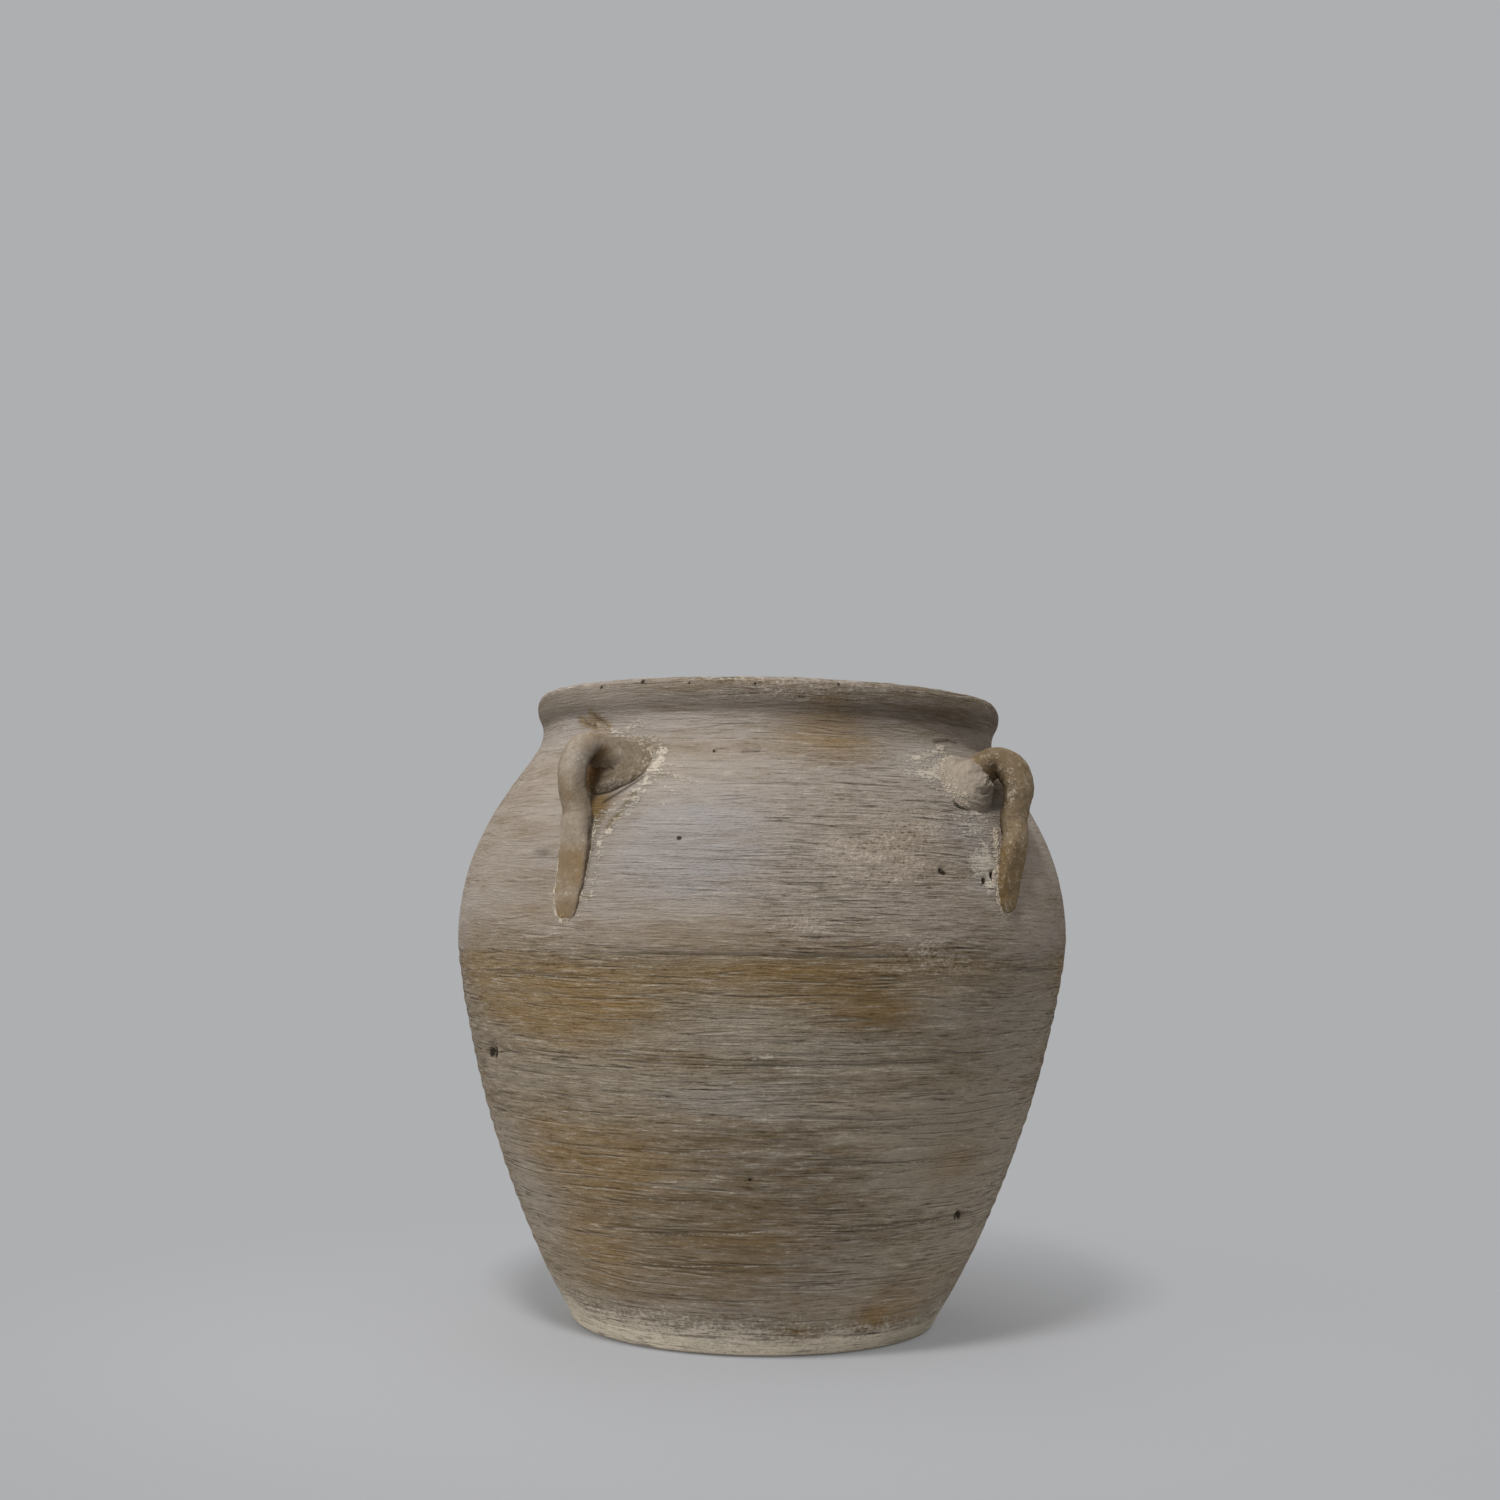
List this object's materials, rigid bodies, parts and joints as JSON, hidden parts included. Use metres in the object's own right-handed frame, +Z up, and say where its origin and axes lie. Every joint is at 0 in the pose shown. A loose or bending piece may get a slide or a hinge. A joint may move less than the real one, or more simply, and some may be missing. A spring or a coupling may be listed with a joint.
{
  "type": "clay jar",
  "caption": "Round-bellied unglazed clay jar with a thick lip, a small flat foot and looped rope handles on its shoulder.",
  "frame": {"origin": "centre of the flat underside, on the ground", "axes": "+Z up along the jar's axis; -Y toward the front handle, +X toward the right handle"},
  "size_m": [0.3011, 0.3017, 0.3],
  "materials": {
    "washed_clay": "unglazed clay with a thin brushed whitewash, matt and dry",
    "coarse_clay": "unglazed clay with turning ribs and a worn streaky whitewash, matt and dry",
    "rope_clay": "bare rolled clay, smoothed by hand, matt",
    "soft_clay": "pressed luting clay with a dry pale crust, matt"
  },
  "bodies": {
    "root": {"base_slab": "coarse_clay", "lower_wall": "coarse_clay", "shoulder_wall": "washed_clay", "rim_collar": "washed_clay", "front_handle_rope": "rope_clay", "front_handle_root_wad": "soft_clay", "front_handle_tail_bed": "soft_clay", "right_handle_rope": "rope_clay", "right_handle_root_wad": "soft_clay", "right_handle_tail_bed": "soft_clay", "back_handle_rope": "rope_clay", "back_handle_root_wad": "soft_clay", "back_handle_tail_bed": "soft_clay", "left_handle_rope": "rope_clay", "left_handle_root_wad": "soft_clay", "left_handle_tail_bed": "soft_clay"}
  },
  "joints": []
}
